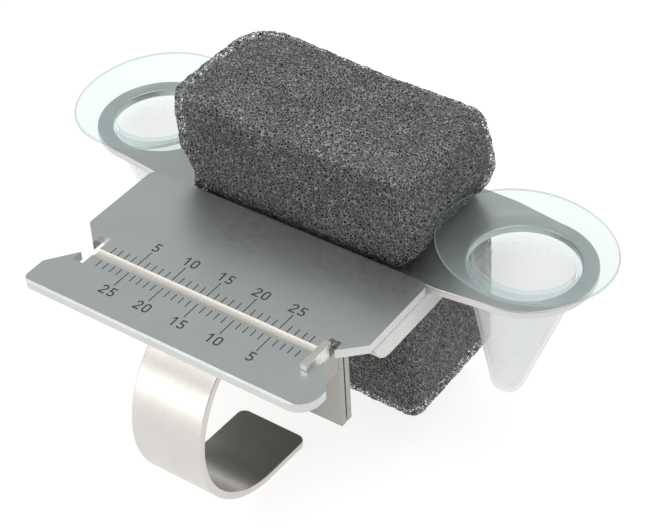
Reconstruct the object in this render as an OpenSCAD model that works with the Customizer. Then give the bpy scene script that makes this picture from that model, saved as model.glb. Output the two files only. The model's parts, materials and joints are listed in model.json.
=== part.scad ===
// Finger-worn measuring ruler for root canal files.
// Millimetres. +X runs along the ruler, +Y to the foam, +Z up.
// The origin is the middle of the measuring groove, in the plane of the ruler's top face.

/* [Ruler] */
// Length of the ruler plate along X
ruler_len = 39.6; // [39:0.2:42]
// Distance from the groove to the front edge
ruler_front = 8.25; // [7.5:0.25:10]
// Distance from the groove to the back edge
ruler_back = 15.7; // [14.5:0.1:15.9]
// Thickness of the ruler plate
ruler_t = 1.2; // [1:0.1:1.5]
// Length of the scale, one line per millimetre
scale_len = 30; // [30:30]
// Depth of the engraved lines and numerals
engrave = 0.1; // [0.05:0.01:0.15]

/* [Carrier] */
// Thickness of the carrier, the bracket and the band
sheet = 1; // [0.8:0.1:1.2]
// Distance of each cup ring from the middle
ring_x = 26.3; // [25.5:0.1:28]
// Distance of the ring centres behind the groove
ring_y = 25.9; // [25.9:0.05:26.2]
// Radius of the hole in a cup ring
ring_hole_r = 6.6; // [6.5:0.05:6.8]
// Outer radius of a cup ring
ring_r = 8.6; // [8.5:0.1:9.2]

/* [Finger band] */
// Inner radius of the finger band
band_r = 12.6; // [11.5:0.1:12.6]
// Width of the finger band
band_w = 10; // [8:0.5:11]
// Angle that the round part of the band turns through
band_turn = 176; // [160:1:180]

/* [Foam] */
// Width of the foam block
foam_w = 29; // [26:0.5:29]
// Height of the foam above the ruler's face
foam_up = 11; // [8:0.5:16]
// Depth of the foam below the ruler's face
foam_down = 24; // [16:0.5:26]

/* [Cups] */
// Radius of a cup's rim
rim_r = 10.6; // [9.8:0.1:10.8]
// Depth of a cup below its ring
cup_depth = 21.1; // [16:0.1:22]
// Outward lean of the cups in their rings
cup_lean = 4.4; // [0:0.2:5]
// Thickness of a cup's wall
cup_wall = 0.45; // [0.35:0.05:0.6]

/* [Hidden] */
$fn = 96;
eps = 0.01;

// Ruler: zero slots, funnels, groove, scale
zero_x = scale_len / 2;
slot_x = zero_x + 0.6;           // inner edge of the slot across each zero
slot_w = 1.45;
slot_len = 5;
throat = 1.0;                    // half opening where the funnel meets the slot
mouth_front = 4.6;               // half openings of the funnel at the end of the plate
mouth_back = 3.7;
corner_r = 1.1;
stop_corner_r = 2.7;             // the front corner beside the stop is rounder
edge_break = 0.22;
groove_y = -0.12;                // middle, radius and depth of the rounded groove
groove_r = 1.05;
groove_d = 0.25;
line_w = 0.14;
upper_base = 0.58;               // where the upper and lower lines start
lower_base = 0.95;
short_line = 1.15;
long_line = 2.65;                // every fifth line
upper_digits = 3.5;              // Y of the numerals' feet
lower_digits = -5.35;
digit_h = 1.45;
digit_w = 0.85;
stroke = 0.2;

// Plates under the ruler
plate_top = -ruler_t;
plate_low = plate_top - sheet;
carrier_front = 16.5;
carrier_back = 35.4;
carrier_flat_x = 20;             // the plate narrows to the rings from here
window_front = 17.2;
window_back = 34.2;
window_x = foam_w / 2 + 0.15;
bracket_x = ruler_len / 2 - 0.2;
bracket_front = 5;
bracket_back = 21;
bracket_low = -4.6;
bracket_bend = 1.6;
foot_r = 3.1;                    // the walls' lower front corners
finger_gap = 0.3;

// Finger band
band_out = band_r + sheet;
band_y = 4.6;
band_z = plate_low - band_out;
root_len = 9.6;
tail_len = 7.3;
tail_corner_r = 1.2;

// End stop
stop_t = 0.85;
stop_x = slot_x + 0.05;
stop_head = [-3.4, 1.2];         // Y range of the head on the ruler's face
neck = 0.8;                      // half width of the neck in the funnel throat
head_h = 0.8;
leaf_front = 2.4;
leaf_gap = 0.2;
leaf_len = 8.2;
leaf_h = 11.8;
leaf_lean = 1;
neck_drop = 3.2;                 // how far the neck's plate reaches below the ruler
stop_gap = 0.04;                 // sliding clearance above and below the plate

// Foam
foam_front = window_front + 0.15;
foam_back = window_back - 0.15;
foam_r = 1;

// Cup, measured along its own axis from the top of its ring
collar_r = ring_hole_r - 0.15;
collar = [-2.7, 0.35];           // height range of the straight collar in the ring
lip_h = 0.9;
lip_r = collar_r + 0.3;
rim_h = 2.4;
tip_r = 2.15;

// A box between two corners
module box(a, b) {
    translate(a) cube(b - a);
}

// The piece to take off a square corner to leave radius r, with the corner at the origin
module corner_cut(r, sx, sy, h) {
    mirror([sx > 0 ? 0 : 1, 0, 0]) mirror([0, sy > 0 ? 0 : 1, 0])
        difference() {
            translate([-r, -r, -h]) cube([r + 1, r + 1, h + 1]);
            translate([-r, -r, -h - 1]) cylinder(r = r, h = h + 3);
        }
}

// A prism that breaks a straight top edge, running along +X from the origin
module edge_prism(len) {
    rotate([45, 0, 0]) translate([0, -edge_break, -edge_break * 0.707])
        cube([len, 2 * edge_break, 2 * edge_break * 0.707 * 2]);
}

// ---- Numerals, each in a cell digit_w wide and digit_h tall ----

module ring_arc(r, from, to) {
    intersection() {
        difference() {
            circle(r = r);
            circle(r = r - stroke);
        }
        polygon(concat([[0, 0]], [for (i = [0:4]) let (a = from + (to - from) * i / 4)
            2 * r * [cos(a), sin(a)]]));
    }
}

module digit_0() {
    r = digit_w / 2;
    difference() {
        union() {
            translate([0, r]) square([digit_w, digit_h - digit_w]);
            for (y = [r, digit_h - r]) translate([r, y]) circle(r = r, $fn = 32);
        }
        translate([stroke, r]) square([digit_w - 2 * stroke, digit_h - digit_w]);
        for (y = [r, digit_h - r]) translate([r, y]) circle(r = r - stroke, $fn = 32);
    }
}

module digit_1() {
    translate([digit_w * 0.5, 0]) square([stroke, digit_h]);
    polygon([[digit_w * 0.5, digit_h], [digit_w * 0.5, digit_h - 1.4 * stroke],
             [digit_w * 0.12, digit_h - 2.6 * stroke], [digit_w * 0.12, digit_h - 1.5 * stroke]]);
}

module digit_2() {
    r = digit_w / 2;
    square([digit_w, stroke]);
    translate([r, digit_h - r]) ring_arc(r, -35, 180);
    polygon([[0, stroke * 0.9], [stroke * 1.35, stroke * 0.9],
             [r + (r - 0.1 * stroke) * cos(-35), digit_h - r + r * sin(-35)],
             [r + (r - stroke) * cos(-35), digit_h - r + (r - stroke) * sin(-35)]]);
}

module digit_5() {
    r = digit_w * 0.54;
    translate([0.1, digit_h - stroke]) square([digit_w - 0.15, stroke]);
    translate([0.1, digit_h * 0.5]) square([stroke, digit_h * 0.5]);
    translate([digit_w - r, r]) ring_arc(r, -150, 135);
}

module digit(n) {
    if (n == 0) digit_0();
    if (n == 1) digit_1();
    if (n == 2) digit_2();
    if (n == 5) digit_5();
}

// A number centred on x = 0 with its foot at y = 0
module numeral(n) {
    pitch = digit_w + 0.3;
    if (n < 10) translate([-digit_w / 2, 0]) digit(n);
    else {
        translate([-digit_w / 2 - pitch / 2, 0]) digit(floor(n / 10));
        translate([-digit_w / 2 + pitch / 2, 0]) digit(n % 10);
    }
}

// Lines and numerals of the upper scale (side 1) or the lower scale (side -1).
// The two scales count from opposite ends.
module scale_marks(side) {
    base = side > 0 ? upper_base : lower_base;
    for (i = [1:scale_len - 1]) {
        length = i % 5 == 0 ? long_line : short_line;
        x = side * (i - zero_x);
        translate([x - line_w / 2, side > 0 ? base : -base - length]) square([line_w, length]);
    }
    for (n = [5:5:25])
        translate([side * (n - zero_x), side > 0 ? upper_digits : lower_digits]) numeral(n);
}

// ---- Sub-parts ----

module zero_slot(side) {
    mirror([side > 0 ? 0 : 1, 0, 0]) {
        box([slot_x, -slot_len / 2, -ruler_t - 1], [slot_x + slot_w, slot_len / 2, 1]);
        translate([0, 0, -ruler_t - 1]) linear_extrude(ruler_t + 2)
            polygon([[slot_x + slot_w - eps, throat], [slot_x + slot_w - eps, -throat],
                     [ruler_len / 2, -mouth_front], [ruler_len / 2 + 1, -mouth_front],
                     [ruler_len / 2 + 1, mouth_back], [ruler_len / 2, mouth_back]]);
    }
}

module ruler_plate() {
    half = ruler_len / 2;
    color([0.66, 0.68, 0.67]) difference() {
        box([-half, -ruler_front, -ruler_t], [half, ruler_back, 0]);
        // corners
        translate([half, -ruler_front, 0]) corner_cut(stop_corner_r, 1, -1, ruler_t + 1);
        translate([-half, -ruler_front, 0]) corner_cut(corner_r, -1, -1, ruler_t + 1);
        for (s = [-1, 1])
            translate([s * half, ruler_back, 0]) corner_cut(corner_r, s, 1, ruler_t + 1);
        // broken edge along the front
        translate([-half - 1, -ruler_front, 0]) edge_prism(ruler_len + 2);
        // measuring groove
        translate([-slot_x - eps, groove_y, groove_r - groove_d]) rotate([0, 90, 0])
            cylinder(r = groove_r, h = 2 * slot_x + 2 * eps);
        for (s = [-1, 1]) zero_slot(s);
        translate([0, 0, -engrave]) linear_extrude(1) {
            scale_marks(1);
            scale_marks(-1);
        }
    }
}

// Inverted channel under the ruler: a web, and side walls that run back under the carrier
module under_bracket() {
    span = bracket_back - bracket_front;
    wall_h = plate_top - bracket_low;
    color([0.78, 0.76, 0.73]) difference() {
        intersection() {
            difference() {
                box([-bracket_x, bracket_front, bracket_low], [bracket_x, bracket_back, plate_top]);
                box([-bracket_x + sheet, bracket_front - 1, bracket_low - 1],
                    [bracket_x - sheet, bracket_back + 1, plate_low]);
            }
            // bends along both top edges
            translate([0, bracket_back + 1, 0]) rotate([90, 0, 0]) linear_extrude(span + 2) union() {
                translate([-bracket_x + bracket_bend, bracket_low - 1])
                    square([2 * (bracket_x - bracket_bend), wall_h + 1]);
                translate([-bracket_x, bracket_low - 1])
                    square([2 * bracket_x, wall_h + 1 - bracket_bend]);
                for (s = [-1, 1]) translate([s * (bracket_x - bracket_bend), plate_top - bracket_bend])
                    circle(r = bracket_bend);
            }
            // rounded lower front corners
            translate([-bracket_x - 1, 0, 0]) rotate([90, 0, 90])
                linear_extrude(2 * bracket_x + 2) union() {
                    translate([bracket_front + foot_r, bracket_low]) square([span - foot_r, wall_h]);
                    translate([bracket_front, bracket_low + foot_r]) square([span, wall_h - foot_r]);
                    translate([bracket_front + foot_r, bracket_low + foot_r]) circle(r = foot_r);
                }
        }
        // arc in the left wall, so that a finger can enter the band
        translate([-bracket_x - 1, band_y, band_z]) rotate([0, 90, 0])
            cylinder(r = band_r + finger_gap, h = sheet + 2);
        // the carrier lies on the walls behind the web
        box([-bracket_x - 1, carrier_front - eps, plate_low - eps],
            [bracket_x + 1, bracket_back + 1, plate_top + 1]);
    }
}

// Plate with a ring at each end for a cup and a window for the foam
module cup_carrier() {
    color([0.62, 0.64, 0.63]) translate([0, 0, plate_low]) linear_extrude(sheet) difference() {
        union() {
            polygon([[-carrier_flat_x, carrier_front], [carrier_flat_x, carrier_front],
                     [ring_x, ring_y - ring_r], [ring_x, ring_y + ring_r],
                     [carrier_flat_x, carrier_back], [-carrier_flat_x, carrier_back],
                     [-ring_x, ring_y + ring_r], [-ring_x, ring_y - ring_r]]);
            for (s = [-1, 1]) translate([s * ring_x, ring_y]) circle(r = ring_r, $fn = 128);
        }
        for (s = [-1, 1]) translate([s * ring_x, ring_y]) circle(r = ring_hole_r, $fn = 128);
        translate([-window_x, window_front]) square([2 * window_x, window_back - window_front]);
    }
}

// Bent strip: a flat root under the bracket, a round turn, and a straight tail
module finger_band() {
    tail_angle = 90 + band_turn;
    color([0.8, 0.78, 0.75]) translate([0, band_y, band_z]) {
        box([-band_w / 2, 0, band_r], [band_w / 2, root_len, band_out]);
        rotate([90, 0, 90]) rotate([0, 0, 90]) translate([0, 0, -band_w / 2])
            rotate_extrude(angle = band_turn, $fn = 180)
                translate([band_r, 0]) square([sheet, band_w]);
        rotate([tail_angle, 0, 0]) translate([-band_w / 2, band_r, 0]) rotate([90, 0, 0]) tail();
    }
}

// Flat tail in the XY plane, with rounded outer corners; the band's turn ends at y = 0
module tail() {
    translate([0, 0, -sheet]) linear_extrude(sheet) difference() {
        square([band_w, tail_len]);
        for (s = [0, 1]) translate([s * band_w, tail_len]) mirror([s, 0]) difference() {
            translate([-1, -tail_corner_r]) square([1 + tail_corner_r, tail_corner_r + 1]);
            translate([tail_corner_r, -tail_corner_r]) circle(r = tail_corner_r);
        }
    }
}

// Removable stop: a head on the ruler, a neck in the slot, and a folded leaf below
module end_stop() {
    below = -ruler_t - stop_gap;
    x1 = stop_x + stop_t;
    leaf_back = leaf_front + 2 * stop_t + leaf_gap;
    color([0.62, 0.58, 0.53]) {
        box([stop_x, stop_head[0], stop_gap], [x1, stop_head[1], head_h]);
        box([stop_x, -neck, below - eps], [x1, neck, stop_gap + eps]);
        box([stop_x, -neck, below - neck_drop], [x1, leaf_front + eps, below]);
        translate([x1, 0, below]) intersection() {
            rotate([0, -leaf_lean, 0]) {
                box([-leaf_len, leaf_front, -leaf_h], [0, leaf_front + stop_t, 1]);
                box([-leaf_len, leaf_front + stop_t + leaf_gap, -leaf_h], [0, leaf_back, 1]);
                box([-leaf_len, leaf_front, -leaf_h], [-leaf_len + stop_t, leaf_back, 1]);
            }
            box([-2 * leaf_len, 0, -2 * leaf_h], [leaf_len, 3 * leaf_front, 0]);
        }
    }
}

module foam_insert() {
    color([0.3, 0.3, 0.3]) translate([0, 0, -foam_down]) linear_extrude(foam_up + foam_down)
        difference() {
            translate([-foam_w / 2, foam_front]) square([foam_w, foam_back - foam_front]);
            for (sx = [0, 1], sy = [0, 1])
                translate([(sx - 0.5) * foam_w, sy == 0 ? foam_front : foam_back])
                    mirror([sx, 0]) mirror([0, sy]) difference() {
                        translate([-1, -1]) square(foam_r + 1);
                        translate([foam_r, foam_r]) circle(r = foam_r, $fn = 32);
                    }
        }
}

// Thin conical cup with a collar and a flared rim, on its own axis
module cup() {
    tip_z = -cup_depth + tip_r;
    flare = [rim_r - lip_r, rim_h - lip_h] / norm([rim_r - lip_r, rim_h - lip_h]);
    drop = cup_wall * [flare[1], -flare[0]];
    fillet = 0.3 * cup_wall;
    rotate_extrude($fn = 128) difference() {
        union() {
            polygon([[0, tip_z], [tip_r, tip_z], [collar_r, collar[0]], [collar_r, collar[1]],
                     [lip_r, lip_h], [rim_r, rim_h], [rim_r, rim_h] - drop, [0, rim_h + cup_wall]]);
            intersection() {
                translate([0, tip_z]) circle(r = tip_r);
                translate([0, tip_z - tip_r]) square([tip_r, tip_r]);
            }
        }
        polygon([[-1, tip_z], [tip_r - cup_wall, tip_z], [collar_r - cup_wall, collar[0]],
                 [collar_r - cup_wall, collar[1] + fillet], [lip_r - cup_wall, lip_h + fillet],
                 [rim_r, rim_h] - drop, [rim_r, rim_h + 2], [-1, rim_h + 2]]);
        translate([0, tip_z]) circle(r = tip_r - cup_wall);
        translate([-tip_r, -2 * cup_depth]) square([tip_r, 3 * cup_depth]);
    }
}

module seated_cup(side) {
    color([0.86, 0.93, 0.94, 0.4])
        translate([side * ring_x, ring_y, plate_top]) rotate([0, side * cup_lean, 0]) cup();
}

module cup_left() { seated_cup(-1); }
module cup_right() { seated_cup(1); }

ruler_plate();
under_bracket();
cup_carrier();
finger_band();
end_stop();
foam_insert();
cup_left();
cup_right();
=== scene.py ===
import json
import math

import bmesh
import bpy
import numpy as np
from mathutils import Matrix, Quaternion, Vector

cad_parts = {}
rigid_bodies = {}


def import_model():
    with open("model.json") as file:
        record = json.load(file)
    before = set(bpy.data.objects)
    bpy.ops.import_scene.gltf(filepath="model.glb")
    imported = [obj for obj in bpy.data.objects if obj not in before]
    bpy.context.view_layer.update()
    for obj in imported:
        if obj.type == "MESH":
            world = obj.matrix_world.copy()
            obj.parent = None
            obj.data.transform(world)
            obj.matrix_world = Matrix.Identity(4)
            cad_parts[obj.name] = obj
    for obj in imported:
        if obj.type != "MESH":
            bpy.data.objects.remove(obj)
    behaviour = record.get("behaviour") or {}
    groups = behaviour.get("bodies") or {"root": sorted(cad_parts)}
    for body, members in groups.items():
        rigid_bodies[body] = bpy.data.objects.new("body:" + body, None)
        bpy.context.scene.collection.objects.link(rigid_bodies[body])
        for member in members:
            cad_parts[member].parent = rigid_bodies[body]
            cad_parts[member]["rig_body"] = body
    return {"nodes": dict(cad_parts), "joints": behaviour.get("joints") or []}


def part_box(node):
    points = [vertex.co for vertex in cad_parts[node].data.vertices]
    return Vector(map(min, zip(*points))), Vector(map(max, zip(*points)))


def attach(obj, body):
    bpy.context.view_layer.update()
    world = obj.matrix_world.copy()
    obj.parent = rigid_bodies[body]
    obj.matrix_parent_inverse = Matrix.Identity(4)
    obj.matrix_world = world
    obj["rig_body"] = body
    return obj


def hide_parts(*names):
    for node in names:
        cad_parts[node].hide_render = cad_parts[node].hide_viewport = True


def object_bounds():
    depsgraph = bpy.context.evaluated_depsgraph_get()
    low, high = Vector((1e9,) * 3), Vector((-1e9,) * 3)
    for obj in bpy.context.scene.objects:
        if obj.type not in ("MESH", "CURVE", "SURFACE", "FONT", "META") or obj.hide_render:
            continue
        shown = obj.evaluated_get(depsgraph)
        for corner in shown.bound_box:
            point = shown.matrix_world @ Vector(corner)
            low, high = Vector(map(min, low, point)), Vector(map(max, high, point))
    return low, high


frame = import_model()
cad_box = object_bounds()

MM = 0.001

# ---- Camera and floor ----

CAMERA_AT = Vector((99.6, -112.6, 131.2)) * MM
CAMERA_AZIMUTH = 36.3
CAMERA_ELEVATION = 40.3
CAMERA_ROLL = -2.5
SENSOR_WIDTH = 36.0
LENS = 99.1
FLOOR_HALF = 1.5
FLOOR_GAP = 0.02 * MM

# ---- Sheet metal ----

KEEN_ANGLE = math.radians(41.5)      # edges at least this sharp are rounded over
BEVEL_STEPS = 3
FLAT_BLEND = math.radians(25)        # how far apart faces may turn and still shade as one
ROUND_BLEND = math.radians(50)
MARK_DEPTH = 0.15 * MM
GROOVE_Y = -0.12 * MM
GROOVE_HALF = 0.69 * MM
LINES_Y = -0.2 * MM                  # middle and reach of the scale lines; the numerals are beyond them
LINES_REACH = 3.5 * MM

# ---- Foam, in millimetres unless MM is shown ----

# Heights of the block with its left, right, front and back sides there: it leans left, bulges above
# and below the carrier, and is squeezed where it passes the window.
FOAM_SIDES = [
    (-24.0, -17.2, 17.8, 16.5, 35.2),
    (-8.0, -16.9, 17.6, 16.5, 35.0),
    (-4.0, -15.6, 16.4, 16.9, 34.6),
    (-2.2, -14.5, 14.5, 17.3, 34.1),
    (-1.2, -14.5, 14.5, 17.3, 34.1),
    (-0.5, -14.8, 15.4, 16.6, 34.6),
    (1.6, -14.8, 17.2, 16.3, 34.9),
    (4.0, -16.7, 17.7, 16.5, 35.2),
    (7.5, -17.5, 17.0, 17.0, 35.1),
    (11.0, -17.5, 15.8, 17.3, 35.0),
]
WINDOW_Z = -1.7
TOP_TILT = 1.1                       # how far the top rises towards the left
TILT_START_X = 4.0
TILT_WIDTH = 20.0
TILT_HEIGHT = 10.0
FOAM_EDGE = 1.1
FOAM_CORNERS = {"front_right": 1.3, "back_right": 1.8, "back_left": 5.0, "front_left": 1.6}
CORNER_STEPS = 8
SIDE_STEPS = 36
EDGE_STEPS = 7
FOAM_LEVELS = 90
CORE_INSETS = {"left": 0.9, "right": 0.55, "front": 0.3, "back": 0.12, "top": 0.12, "bottom": 0.3}
NO_INSETS = dict.fromkeys(CORE_INSETS, 0.0)
RIM_GAP = 0.3                        # the foam keeps this far from the cups' rims
RIM_HEADROOM = 0.4                   # from here above them
RIM_DEPTH = 2.2                      # to here below that
RIM_EASE = 2.0                       # and the dent fades out over this height
FOAM_VOXEL = 0.3 * MM
CORE_COARSER = 2.5
FOAM_CELL = 0.36 * MM
RELIEF_CELL = 0.8 * MM
CELL_DEPTH = 0.22 * MM
RAGGED_SIZE = 1.1 * MM
RAGGED_HEIGHT = 0.1 * MM

# ---- Cups, in millimetres ----

CUP_TURNS = 128
TIP_STEPS = 10
TIP_R = 2.15
TIP_Z = -18.95
CUP_WALL = 0.45
COLLAR_R = 6.45
BORE_R = 6.01
FLANGE_START = 6.5
RIM_R = 10.6
RIM_HEIGHT = 2.4
RIM_LINE = 0.2                       # width of the greyer line round the rim
SAG = {"cup_left": 0.5, "cup_right": -0.8}
SHIFT = {"cup_left": Vector((-0.8, 0.05, 0.0)), "cup_right": Vector((0.15, -0.2, 0.0))}


# ---------------------------------------------------------------- node helpers


def put(tree, kind, settings=None, **inputs):
    """Adds a shader node. settings are its properties; inputs are values or sockets, with _ for a space."""
    made = tree.nodes.new("ShaderNode" + kind)
    for name, value in (settings or {}).items():
        setattr(made, name, value)
    for name, value in inputs.items():
        numbered = name[0] == "i" and name[1:].isdigit()
        socket = made.inputs[int(name[1:]) if numbered else name.replace("_", " ")]
        if isinstance(value, bpy.types.NodeSocket):
            tree.links.new(value, socket)
        else:
            socket.default_value = value
    return made


def material(name):
    """A new material with an empty node tree and its output node."""
    made = bpy.data.materials.new(name)
    made.use_nodes = True
    made.node_tree.nodes.clear()
    return made, made.node_tree, put(made.node_tree, "OutputMaterial")


def place(tree):
    """Where a point is in the row frame, in metres."""
    return put(tree, "TexCoord").outputs["Object"]


def part_of(tree, vector, axis):
    """One coordinate of a vector; axis is X, Y or Z."""
    return put(tree, "SeparateXYZ", Vector=vector).outputs[axis]


def stretched(tree, vector, factors):
    """A vector scaled along each axis; a factor below 1 draws a pattern out along that axis."""
    return put(tree, "VectorMath", {"operation": "MULTIPLY"}, i0=vector, i1=factors).outputs[0]


def noise(tree, vector, size, detail=3.0, rough=0.55):
    """Noise from 0 to 1 whose features measure about size metres."""
    made = put(tree, "TexNoise", Vector=vector, Scale=1 / size, Detail=detail, Roughness=rough)
    return made.outputs["Fac"]


def remap(tree, value, lo, hi, to_lo, to_hi, smooth=False):
    """Maps lo..hi to to_lo..to_hi and holds the ends."""
    kind = "SMOOTHSTEP" if smooth else "LINEAR"
    made = put(tree, "MapRange", {"interpolation_type": kind}, Value=value, From_Min=lo, From_Max=hi,
               To_Min=to_lo, To_Max=to_hi)
    return made.outputs["Result"]


def maths(tree, operation, a, b=0.0):
    return put(tree, "Math", {"operation": operation}, i0=a, i1=b).outputs[0]


def grey(tree, level):
    """A number as a grey colour."""
    return put(tree, "CombineColor", i0=level, i1=level, i2=level).outputs[0]


def blend_colour(tree, share, a, b, how="MIX"):
    made = put(tree, "Mix", {"data_type": "RGBA", "blend_type": how}, i0=share, i6=a, i7=b)
    return made.outputs[2]


def blend_shader(tree, share, a, b):
    return put(tree, "MixShader", i0=share, i1=a, i2=b).outputs[0]


def bump(tree, height, strength, depth):
    return put(tree, "Bump", Strength=strength, Distance=depth, Height=height).outputs[0]


# ---------------------------------------------------------------- materials


def steel(name, colour, roughness, grain_size, grain_stretch, grain_depth, low_shade=1.0):
    """Satin stainless steel: fine grain and soft blotches. Below the ruler's underside the colour is
    low_shade times as bright, as painted shade from the ruler above.
    """
    made, tree, out = material(name)
    at = place(tree)
    grain = noise(tree, stretched(tree, at, grain_stretch), grain_size, 4.0, 0.7)
    blotch = noise(tree, at, 6 * MM, 3.0)
    cloud = noise(tree, at, 1.1 * MM, 2.0)
    scratch = noise(tree, stretched(tree, at, (0.12, 1.0, 1.0)), 0.1 * MM, 2.0, 0.4)
    lines = remap(tree, scratch, 0.68, 0.76, 0.0, 0.1)
    shade = remap(tree, blotch, 0.3, 0.7, 0.97, 1.03)
    shade = maths(tree, "MULTIPLY", shade, remap(tree, grain, 0.25, 0.75, 0.94, 1.06))
    if low_shade != 1.0:
        # painted shade: the colour darkens below the ruler plate, where the ruler shadows the part
        below = remap(tree, part_of(tree, at, "Z"), -1.4 * MM, -0.6 * MM, low_shade, 1.0)
        shade = maths(tree, "MULTIPLY", shade, below)
    base = blend_colour(tree, 1.0, (*colour, 1), grey(tree, shade), "MULTIPLY")
    base = blend_colour(tree, lines, base, (0.75, 0.75, 0.75, 1))
    rough = remap(tree, cloud, 0.3, 0.7, roughness - 0.03, roughness + 0.03)
    rough = maths(tree, "ADD", rough, remap(tree, grain, 0.3, 0.7, -0.03, 0.03))
    surface = put(tree, "BsdfPrincipled", Base_Color=base, Metallic=1.0, Roughness=rough,
                  Normal=bump(tree, grain, 0.5, grain_depth))
    tree.links.new(surface.outputs[0], out.inputs["Surface"])
    return made


def engraving():
    """The dark, slightly uneven floor of the numerals and of the finer, paler scale lines."""
    made, tree, out = material("engraved_dark")
    at = place(tree)
    speck = noise(tree, at, 0.15 * MM, 3.0)
    base = blend_colour(tree, speck, (0.035, 0.038, 0.04, 1), (0.1, 0.105, 0.105, 1))
    from_middle = maths(tree, "ABSOLUTE", maths(tree, "SUBTRACT", part_of(tree, at, "Y"), LINES_Y))
    line = remap(tree, from_middle, LINES_REACH, LINES_REACH + 0.1 * MM, 0.8, 0.0)
    base = blend_colour(tree, line, base, (0.13, 0.135, 0.135, 1))
    surface = put(tree, "BsdfPrincipled", Base_Color=base, Metallic=0.3, Roughness=0.6,
                  Normal=bump(tree, speck, 0.4, 0.01 * MM))
    tree.links.new(surface.outputs[0], out.inputs["Surface"])
    return made


def foam_material(name, open_cells, dark):
    """Open-cell foam: pale and dark strands round cells with painted shade in their hollows, which are
    holes where open_cells is set. dark scales all colours down as painted shade for a deeper layer.
    """
    made, tree, out = material(name)
    at = put(tree, "Attribute", {"attribute_name": "foam_at"}).outputs["Vector"]
    wobble = put(tree, "TexNoise", Vector=at, Scale=1 / (0.5 * MM), Detail=1.0).outputs["Color"]
    wobble = put(tree, "VectorMath", {"operation": "SCALE"}, i0=wobble, Scale=0.25 * MM).outputs[0]
    at = put(tree, "VectorMath", {"operation": "ADD"}, i0=at, i1=wobble).outputs[0]
    cells = put(tree, "TexVoronoi", {"feature": "DISTANCE_TO_EDGE"}, Vector=at, Scale=1 / FOAM_CELL)
    from_strand = cells.outputs["Distance"]
    strand = remap(tree, from_strand, 0.06, 0.2, 1.0, 0.0, True)
    glint = remap(tree, noise(tree, at, 0.3 * MM, 2.0), 0.42, 0.66, 0.0, 1.0, True)
    drift_and_top_light = remap(tree, noise(tree, at, 5 * MM, 2.0), 0.3, 0.7, 0.85, 1.15)
    # painted shade: the hollows between strands are darker than the strands
    shaded_hollow = (0.056 * dark, 0.0565 * dark, 0.055 * dark, 1)
    dull_rib = (0.11 * dark, 0.112 * dark, 0.109 * dark, 1)
    lit_rib = (0.275 * dark, 0.28 * dark, 0.27 * dark, 1)
    base = blend_colour(tree, strand, shaded_hollow, blend_colour(tree, glint, dull_rib, lit_rib))
    # painted light: faces turned upward are made up to 1.42 times lighter and side faces 0.9 times, as if
    # lit from above
    upward = part_of(tree, put(tree, "NewGeometry").outputs["Normal"], "Z")
    drift_and_top_light = maths(tree, "MULTIPLY", drift_and_top_light, remap(tree, upward, 0.2, 0.9, 0.9, 1.42, True))
    base = put(tree, "VectorMath", {"operation": "MULTIPLY"}, i0=base, i1=grey(tree, drift_and_top_light)).outputs[0]
    surface = put(tree, "BsdfPrincipled", Base_Color=base, Roughness=0.5,
                  Normal=bump(tree, strand, 0.7, 0.1 * MM)).outputs[0]
    if open_cells:
        membrane = put(tree, "TexVoronoi", Vector=at, Scale=1 / FOAM_CELL).outputs["Color"]
        chance = put(tree, "SeparateColor", Color=membrane).outputs[0]
        torn = remap(tree, chance, 0.12, 0.16, 0.0, 1.0)
        hole = remap(tree, from_strand, 0.1, 0.17, 0.0, 1.0)
        clear = put(tree, "BsdfTransparent").outputs[0]
        surface = blend_shader(tree, maths(tree, "MULTIPLY", hole, torn), surface, clear)
    tree.links.new(surface, out.inputs["Surface"])
    return made


def cup_material():
    """Clear moulded plastic above the ring, going frosted down the cone."""
    made, tree, out = material("clear_plastic")
    at = place(tree)
    frost = remap(tree, part_of(tree, at, "Z"), -4.5 * MM, -1.2 * MM, 1.0, 0.0, True)
    streak = noise(tree, stretched(tree, at, (1.0, 1.0, 0.25)), 2.5 * MM, 1.0)
    cloud = noise(tree, at, 5 * MM, 1.0)
    facing = put(tree, "LayerWeight", Blend=0.5).outputs["Facing"]
    edge = remap(tree, facing, 0.75, 1.0, 0.0, 1.0, True)
    clear_tint = blend_colour(tree, facing, (0.95, 0.978, 0.975, 1), (0.9, 0.955, 0.96, 1))
    tint = blend_colour(tree, frost, clear_tint, (0.965, 0.97, 0.97, 1))
    through = put(tree, "BsdfTransparent", Color=tint).outputs[0]
    body = blend_colour(tree, streak, (0.93, 0.94, 0.94, 1), (1.0, 1.0, 1.0, 1))
    body = blend_colour(tree, edge, body, (0.7, 0.74, 0.75, 1))
    milky = put(tree, "BsdfTranslucent", Color=body).outputs[0]
    matt = put(tree, "BsdfDiffuse", Color=body).outputs[0]
    veil = remap(tree, cloud, 0.2, 0.8, 0.22, 0.3)
    veil = maths(tree, "ADD", veil, remap(tree, streak, 0.1, 0.9, -0.06, 0.06))
    veil = maths(tree, "MULTIPLY", veil, frost)
    veil = maths(tree, "ADD", veil, remap(tree, edge, 0.0, 1.0, 0.035, 0.5))
    skin = blend_shader(tree, veil, through, blend_shader(tree, 0.5, milky, matt))
    rough = remap(tree, frost, 0.0, 1.0, 0.25, 0.5)
    gloss = put(tree, "BsdfGlossy", Color=(1, 1, 1, 1), Roughness=rough).outputs[0]
    shine = remap(tree, maths(tree, "POWER", facing, 4.0), 0.0, 1.0, 0.02, 0.4)
    tree.links.new(blend_shader(tree, shine, skin, gloss), out.inputs["Surface"])
    return made


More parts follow.
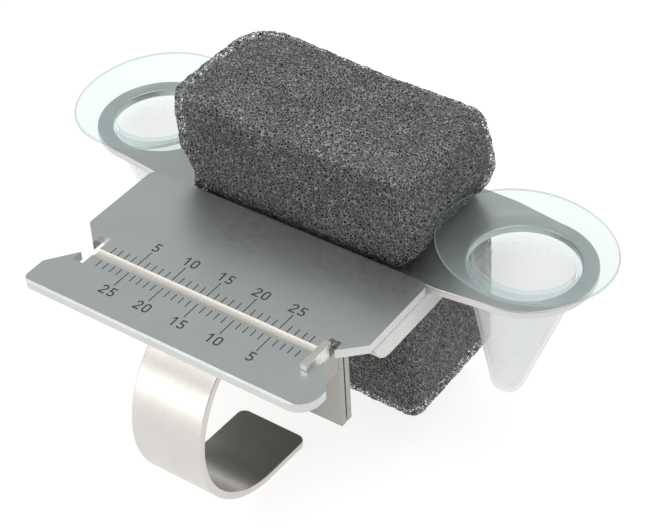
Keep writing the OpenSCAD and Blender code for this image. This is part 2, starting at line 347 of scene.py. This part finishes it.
def rim_material():
    """The outer edge of a cup, seen through more of the plastic and so greyer."""
    made, tree, out = material("clear_rim")
    cloud = noise(tree, place(tree), 2 * MM, 1.0)
    body = blend_colour(tree, cloud, (0.42, 0.46, 0.47, 1), (0.56, 0.60, 0.61, 1))
    matt = put(tree, "BsdfDiffuse", Color=body).outputs[0]
    through = put(tree, "BsdfTransparent", Color=(0.85, 0.88, 0.89, 1)).outputs[0]
    tree.links.new(blend_shader(tree, 0.3, through, matt), out.inputs["Surface"])
    return made


# ---------------------------------------------------------------- sheet metal


def new_piece(name, mesh, node):
    """Links a mesh as a piece that rides with a CAD node's body and stands for that node."""
    piece = bpy.data.objects.new(name, mesh)
    bpy.context.scene.collection.objects.link(piece)
    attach(piece, frame["nodes"][node]["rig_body"])
    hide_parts(node)


def is_mark(face):
    """True for the floor or a wall of an engraved line or numeral."""
    heights = [v.co.z for v in face.verts]
    return -MARK_DEPTH < min(heights) < -0.02 * MM and max(heights) < 0.01 * MM


def in_groove(face):
    """True for a strip of the ruler's long rounded channel, which takes the painted highlight material."""
    middle = face.calc_center_median()
    return abs(middle.y - GROOVE_Y) < GROOVE_HALF and middle.z < -0.001 * MM and face.normal.z > 0.5


def corner_normal(loop, rounded):
    """The shading normal of one face corner: flats stay flat and rounded edges run smoothly into them."""
    face = loop.face
    around = list(loop.vert.link_faces)
    near = [f for f in around if f not in rounded] or around
    limit = ROUND_BLEND if face in rounded else FLAT_BLEND
    total = Vector()
    for other in near:
        if other.normal.angle(face.normal, 0.0) < limit:
            total += other.normal * max(other.calc_area(), 1e-12) * 1e6
    return (total if total.length > 0 else face.normal).normalized()


def dressed(node, name, edge_radius, materials, marks=False):
    """The CAD node's own shape with its sharp edges rounded over.

    With marks set, engraved floors take the second material and the groove takes the third, a rougher steel
    made paler and warmer as a painted highlight.
    """
    work = bmesh.new()
    work.from_mesh(frame["nodes"][node].data)
    bmesh.ops.remove_doubles(work, verts=work.verts, dist=0.001 * MM)
    bmesh.ops.dissolve_limit(work, angle_limit=math.radians(0.3), verts=work.verts, edges=work.edges)
    work.normal_update()
    keen = []
    for edge in work.edges:
        if not edge.is_manifold or edge.calc_face_angle() < KEEN_ANGLE:
            continue
        if marks and any(is_mark(f) for f in edge.link_faces):
            continue
        keen.append(edge)
    made = bmesh.ops.bevel(work, geom=keen, offset=edge_radius, offset_type="OFFSET",
                           segments=BEVEL_STEPS, profile=0.5, affect="EDGES", clamp_overlap=True)
    work.normal_update()
    rounded = {f for f in made["faces"] if f.is_valid}
    for face in work.faces:
        face.smooth = True
        if marks and is_mark(face) and face.normal.z > 0.99:
            face.material_index = 1
        elif marks and in_groove(face):
            face.material_index = 2
    work.faces.index_update()
    normals = [corner_normal(loop, rounded) for face in work.faces for loop in face.loops]
    mesh = bpy.data.meshes.new(name)
    work.to_mesh(mesh)
    work.free()
    for m in materials:
        mesh.materials.append(m)
    mesh.normals_split_custom_set(normals)
    new_piece(name, mesh, node)


# ---------------------------------------------------------------- foam


def sides_at(z):
    """The left, right, front and back of the block at height z, read between the rows of FOAM_SIDES."""
    z = min(max(z, FOAM_SIDES[0][0]), FOAM_SIDES[-1][0])
    for low, high in zip(FOAM_SIDES, FOAM_SIDES[1:]):
        if z <= high[0]:
            share = (z - low[0]) / (high[0] - low[0])
            return [a + (b - a) * share for a, b in zip(low[1:], high[1:])]


def rounded_outline(left, right, front, back, corner_scale):
    """Points round a rectangle with its own radius at each corner, close together on the sides."""
    corners = [
        ("front_right", right, front, -1, 1),
        ("back_right", right, back, -1, -1),
        ("back_left", left, back, 1, -1),
        ("front_left", left, front, 1, 1),
    ]
    points = []
    for turn, (name, x, y, inward_x, inward_y) in enumerate(corners):
        r = FOAM_CORNERS[name] * corner_scale
        for step in range(CORNER_STEPS + 1):
            a = math.radians(90 * (turn - 1 + step / CORNER_STEPS))
            points.append((x + inward_x * r + r * math.cos(a), y + inward_y * r + r * math.sin(a)))
    dense = []
    for i, (x0, y0) in enumerate(points):
        x1, y1 = points[(i + 1) % len(points)]
        steps = SIDE_STEPS if i % (CORNER_STEPS + 1) == CORNER_STEPS else 1
        dense += [(x0 + (x1 - x0) * k / steps, y0 + (y1 - y0) * k / steps) for k in range(steps)]
    return dense


def rim_spaces():
    """For each cup: its rim's middle x and y, how near the foam may come, and the top of that space."""
    spaces = []
    for node in ("cup_left", "cup_right"):
        low, high = (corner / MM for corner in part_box(node))
        reach = (high.y - low.y) / 2 + RIM_GAP
        spaces.append(((low.x + high.x) / 2, (low.y + high.y) / 2, reach, high.z + RIM_HEADROOM))
    return spaces


def clear_of_rims(x, y, z, spaces):
    """Pulls the x of a point of the foam out of the space of the two cup rims."""
    for rim_x, rim_y, reach, top in spaces:
        beyond = max((z - top) / RIM_EASE, (top - RIM_DEPTH - z) / RIM_EASE)
        ease = max(min(beyond, 1.0), 0.0)
        side = 1 if rim_x > 0 else -1
        if abs(y - rim_y) < reach and ease < 1.0:
            limit = abs(rim_x) - math.sqrt(reach**2 - (y - rim_y) ** 2)
            excess = side * x - limit
            if excess > 0:
                x -= side * excess * (1 - ease * ease * (3 - 2 * ease))
    return x


def foam_loft(insets, spaces):
    """The block as stacked outlines, its faces moved inwards by millimetres."""
    box_low, box_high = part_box("foam_insert")
    top = box_high.z / MM - insets["top"]
    bottom = box_low.z / MM + insets["bottom"]
    turn = np.linspace(0, math.pi / 2, EDGE_STEPS)
    levels = np.concatenate([bottom + FOAM_EDGE * (1 - np.cos(turn)),
                             np.linspace(bottom + FOAM_EDGE, top - FOAM_EDGE, FOAM_LEVELS)[1:-1],
                             top - FOAM_EDGE * (1 - np.cos(turn[::-1]))])
    work = bmesh.new()
    rings = []
    for z in levels:
        left, right, front, back = sides_at(z)
        near = min(z - bottom, top - z, FOAM_EDGE)
        round_in = FOAM_EDGE - math.sqrt(max(FOAM_EDGE**2 - (FOAM_EDGE - near) ** 2, 0))
        squeeze = min(max(abs(z - WINDOW_Z) / 2.0, 0.3), 1.0)
        outline = rounded_outline(left + insets["left"] + round_in, right - insets["right"] - round_in,
                                  front + insets["front"] + round_in, back - insets["back"] - round_in,
                                  squeeze)
        ring = []
        for x, y in outline:
            leftward = min(max((TILT_START_X - x) / TILT_WIDTH, 0.0), 1.0)
            lift = TOP_TILT * leftward * min(max(z / TILT_HEIGHT, 0.0), 1.0)
            x = clear_of_rims(x, y, z, spaces)
            ring.append(work.verts.new((x * MM, y * MM, (z + lift) * MM)))
        rings.append(ring)
    for low, high in zip(rings, rings[1:]):
        for i in range(len(low)):
            j = (i + 1) % len(low)
            work.faces.new((low[i], low[j], high[j], high[i]))
    work.faces.new(rings[0][::-1])
    work.faces.new(rings[-1])
    mesh = bpy.data.meshes.new("foam_loft")
    work.to_mesh(mesh)
    work.free()
    return mesh


def cell_relief(amount):
    """Geometry nodes that keep each point's place as foam_at, then sink the foam's open cells."""
    group = bpy.data.node_groups.new("cell_relief", "GeometryNodeTree")
    group.interface.new_socket("Geometry", in_out="INPUT", socket_type="NodeSocketGeometry")
    group.interface.new_socket("Geometry", in_out="OUTPUT", socket_type="NodeSocketGeometry")
    add = group.nodes.new
    link = group.links.new
    into = add("NodeGroupInput")
    out = add("NodeGroupOutput")
    where = add("GeometryNodeInputPosition")
    normal = add("GeometryNodeInputNormal")
    keep = add("GeometryNodeStoreNamedAttribute")
    keep.data_type = "FLOAT_VECTOR"
    keep.domain = "POINT"
    keep.inputs["Name"].default_value = "foam_at"
    link(into.outputs[0], keep.inputs["Geometry"])
    link(where.outputs[0], keep.inputs["Value"])
    cells = add("ShaderNodeTexVoronoi")
    cells.feature = "DISTANCE_TO_EDGE"
    cells.inputs["Scale"].default_value = 1 / RELIEF_CELL
    link(where.outputs[0], cells.inputs["Vector"])
    sink = add("ShaderNodeMapRange")
    sink.interpolation_type = "SMOOTHSTEP"
    sink.inputs["From Min"].default_value = 0.04
    sink.inputs["From Max"].default_value = 0.3
    sink.inputs["To Min"].default_value = 0.0
    sink.inputs["To Max"].default_value = -CELL_DEPTH * amount
    link(cells.outputs["Distance"], sink.inputs["Value"])
    ragged = add("ShaderNodeTexNoise")
    ragged.inputs["Scale"].default_value = 1 / RAGGED_SIZE
    link(where.outputs[0], ragged.inputs["Vector"])
    lift = add("ShaderNodeMapRange")
    lift.inputs["From Min"].default_value = 0.3
    lift.inputs["From Max"].default_value = 0.7
    lift.inputs["To Min"].default_value = -RAGGED_HEIGHT
    lift.inputs["To Max"].default_value = RAGGED_HEIGHT
    link(ragged.outputs[0], lift.inputs["Value"])
    total = add("ShaderNodeMath")
    link(sink.outputs["Result"], total.inputs[0])
    link(lift.outputs["Result"], total.inputs[1])
    push = add("ShaderNodeVectorMath")
    push.operation = "SCALE"
    link(normal.outputs[0], push.inputs[0])
    link(total.outputs[0], push.inputs["Scale"])
    move = add("GeometryNodeSetPosition")
    link(keep.outputs[0], move.inputs["Geometry"])
    link(push.outputs[0], move.inputs["Offset"])
    link(move.outputs[0], out.inputs[0])
    return group


def foam_layer(insets, spaces, voxel, relief):
    """A loft of the block, remeshed finely and given sunk cells."""
    block = bpy.data.objects.new("foam_layer", foam_loft(insets, spaces))
    bpy.context.scene.collection.objects.link(block)
    remesh = block.modifiers.new("voxels", "REMESH")
    remesh.mode = "VOXEL"
    remesh.voxel_size = voxel
    soften = block.modifiers.new("soften", "SMOOTH")
    soften.factor = 0.5
    soften.iterations = 6
    cells = block.modifiers.new("cells", "NODES")
    cells.node_group = cell_relief(relief)
    graph = bpy.context.evaluated_depsgraph_get()
    graph.update()
    mesh = bpy.data.meshes.new_from_object(block.evaluated_get(graph), preserve_all_data_layers=True,
                                           depsgraph=graph)
    bpy.data.objects.remove(block)
    return mesh


def foam_piece():
    """An outer net of strands over a core darkened with painted shade, so that its outline is open to the
    light.
    """
    spaces = rim_spaces()
    net = foam_layer(NO_INSETS, spaces, FOAM_VOXEL, 1.0)
    core = foam_layer(CORE_INSETS, spaces, CORE_COARSER * FOAM_VOXEL, 0.3)
    both = bmesh.new()
    both.from_mesh(net)
    count = len(both.faces)
    both.from_mesh(core)
    both.faces.ensure_lookup_table()
    for face in both.faces:
        face.smooth = True
        face.material_index = 0 if face.index < count else 1
    mesh = bpy.data.meshes.new("foam")
    both.to_mesh(mesh)
    both.free()
    mesh.materials.append(foam_material("foam_net", True, 1.0))
    # the core is the same foam at 0.8 times the colour: painted shade for the deeper layer
    mesh.materials.append(foam_material("foam_core", False, 0.8))
    new_piece("foam", mesh, "foam_insert")


# ---------------------------------------------------------------- cups


def tip_arc(radius):
    """The rounded tip of a cup's half section, from the axis outwards."""
    turns = np.linspace(0.02, math.radians(76), TIP_STEPS)
    return [(radius * math.sin(a), TIP_Z - radius * math.cos(a)) for a in turns]


def cup_profile():
    """Half section of a cup along its own axis: outside from the tip up, then down the inside."""
    outside = tip_arc(TIP_R)
    outside += [(COLLAR_R - 0.05, -2.95), (COLLAR_R, -2.65), (COLLAR_R, 0.3)]
    outside += [(COLLAR_R + 0.07, 0.5), (COLLAR_R + 0.25, 0.76), (COLLAR_R + 0.53, 0.98)]
    outside += [(RIM_R - 0.12, 2.3), (RIM_R - 0.02, 2.38), (RIM_R, 2.46), (RIM_R - 0.07, 2.52)]
    inside = tip_arc(TIP_R - CUP_WALL)
    inside += [(BORE_R - 0.05, -2.85), (BORE_R, -2.6), (BORE_R, 0.45)]
    inside += [(BORE_R + 0.07, 0.74), (BORE_R + 0.31, 1.12), (BORE_R + 0.71, 1.38)]
    inside += [(RIM_R - 0.32, 2.7), (RIM_R - 0.2, 2.66)]
    return outside + inside[::-1]


def cup_piece(node, name, joint, materials):
    """A cup leaning along its joint's axis, its soft rim sagging and shifted a little."""
    low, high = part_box(node)
    axis = Vector(next(j["axis"] for j in frame["joints"] if j["name"] == joint)).normalized()
    lean = Vector((0, 0, 1)).rotation_difference(axis)
    box_r = (high.y - low.y) / 2
    rim = Vector(((low.x + high.x) / 2, (low.y + high.y) / 2, high.z - box_r * abs(axis.x)))
    base = rim - axis * RIM_HEIGHT * MM
    profile = cup_profile()
    work = bmesh.new()
    rings = []
    for r, z in profile:
        give = max(r - FLANGE_START, 0.0) / (RIM_R - FLANGE_START)
        ring = []
        for i in range(CUP_TURNS):
            a = 2 * math.pi * i / CUP_TURNS
            point = Vector((r * math.cos(a), r * math.sin(a), z + SAG[node] * give * math.sin(a)))
            point += SHIFT[node] * give
            ring.append(work.verts.new(base + lean @ point * MM))
        rings.append(ring)
    for k in range(len(profile) - 1):
        on_rim = min(profile[k][0], profile[k + 1][0]) > RIM_R - RIM_LINE - 0.01
        for i in range(CUP_TURNS):
            j = (i + 1) % CUP_TURNS
            face = work.faces.new((rings[k][i], rings[k][j], rings[k + 1][j], rings[k + 1][i]))
            face.material_index = 1 if on_rim else 0
    work.faces.new(rings[0][::-1])
    work.faces.new(rings[-1])
    bmesh.ops.recalc_face_normals(work, faces=work.faces)
    for face in work.faces:
        face.smooth = True
    mesh = bpy.data.meshes.new(name)
    work.to_mesh(mesh)
    work.free()
    for m in materials:
        mesh.materials.append(m)
    new_piece(name, mesh, node)


# ---------------------------------------------------------------- stage


def floor():
    """A wide pale floor just below the object."""
    z = cad_box[0].z - FLOOR_GAP
    mesh = bpy.data.meshes.new("floor")
    corners = [(sx * FLOOR_HALF, sy * FLOOR_HALF, z) for sx, sy in ((-1, -1), (1, -1), (1, 1), (-1, 1))]
    mesh.from_pydata(corners, [], [(0, 1, 2, 3)])
    made, tree, out = material("pale_floor")
    surface = put(tree, "BsdfPrincipled", Base_Color=(0.35, 0.35, 0.35, 1), Roughness=0.95,
                  Emission_Color=(1.0, 0.99, 0.98, 1), Emission_Strength=0.8)
    tree.links.new(surface.outputs[0], out.inputs["Surface"])
    mesh.materials.append(made)
    plane = bpy.data.objects.new("floor", mesh)
    bpy.context.scene.collection.objects.link(plane)


def softbox(name, offset, size, power, colour):
    """A round soft light at an offset from the middle of the object, aimed at it."""
    middle = (cad_box[0] + cad_box[1]) / 2
    data = bpy.data.lights.new(name, "AREA")
    data.shape = "DISK"
    data.size = size
    data.energy = power
    data.color = colour
    lamp = bpy.data.objects.new(name, data)
    lamp.location = middle + Vector(offset)
    lamp.rotation_mode = "QUATERNION"
    lamp.rotation_quaternion = (-Vector(offset)).to_track_quat("-Z", "Y")
    bpy.context.scene.collection.objects.link(lamp)


def light():
    """An even sky, a large light overhead, and two warmer ones from the front left."""
    world = bpy.data.worlds.new("studio")
    bpy.context.scene.world = world
    world.use_nodes = True
    tree = world.node_tree
    tree.nodes.clear()
    sky = put(tree, "Background", Color=(0.95, 1.0, 1.0, 1), Strength=0.6)
    out = put(tree, "OutputWorld")
    tree.links.new(sky.outputs[0], out.inputs["Surface"])
    softbox("overhead", (0.22, 0.05, 0.62), 0.45, 0.9, (1.0, 1.0, 1.0))
    softbox("front_left", (-0.28, -0.34, 0.48), 0.4, 0.75, (1.0, 0.94, 0.86))
    softbox("front_card", (-0.40, -0.72, 0.10), 0.42, 0.9, (1.0, 0.95, 0.89))


def camera():
    """The camera, placed in the row frame by its azimuth, elevation and roll."""
    data = bpy.data.cameras.new("camera")
    data.sensor_width = SENSOR_WIDTH
    data.lens = LENS
    data.clip_start = 0.01
    data.clip_end = 10.0
    eye = bpy.data.objects.new("camera", data)
    a = math.radians(CAMERA_AZIMUTH)
    e = math.radians(CAMERA_ELEVATION)
    forward = Vector((-math.sin(a) * math.cos(e), math.cos(a) * math.cos(e), -math.sin(e)))
    roll = Quaternion((0, 0, 1), math.radians(CAMERA_ROLL))
    eye.location = CAMERA_AT
    eye.rotation_mode = "QUATERNION"
    eye.rotation_quaternion = forward.to_track_quat("-Z", "Y") @ roll
    bpy.context.scene.collection.objects.link(eye)
    bpy.context.scene.camera = eye


# ---------------------------------------------------------------- the scene

ruler_steel = steel("satin_ruler", (0.60, 0.615, 0.61), 0.36, 0.13 * MM, (1.0, 1.0, 1.0), 0.005 * MM)
sheet_steel = steel("satin_sheet", (0.62, 0.615, 0.60), 0.34, 0.15 * MM, (1.0, 1.0, 1.0), 0.005 * MM)
band_steel = steel("satin_band", (0.64, 0.62, 0.60), 0.33, 0.14 * MM, (1.0, 0.3, 0.3), 0.006 * MM)
# the stop's leaf under the ruler gets painted shade, half as bright below the plate
stop_steel = steel("satin_stop", (0.74, 0.725, 0.69), 0.42, 0.14 * MM, (1.0, 1.0, 0.4), 0.005 * MM, 0.5)
# the groove: rougher satin steel, with a paler, warmer colour as a painted highlight along the channel
groove_painted_highlight = steel("satin_groove_painted_highlight", (0.80, 0.77, 0.72), 0.52, 0.12 * MM, (0.3, 1.0, 1.0), 0.005 * MM)
clear = [cup_material(), rim_material()]

dressed("ruler_plate", "ruler", 0.13 * MM, [ruler_steel, engraving(), groove_painted_highlight], marks=True)
dressed("under_bracket", "bracket", 0.12 * MM, [sheet_steel])
dressed("cup_carrier", "carrier", 0.2 * MM, [sheet_steel])
dressed("finger_band", "band", 0.18 * MM, [band_steel])
dressed("end_stop", "stop", 0.08 * MM, [stop_steel])
foam_piece()
cup_piece("cup_left", "cup_left_shell", "cup_left_lift", clear)
cup_piece("cup_right", "cup_right_shell", "cup_right_lift", clear)

floor()
light()
camera()
bpy.context.scene.view_settings.view_transform = "Standard"
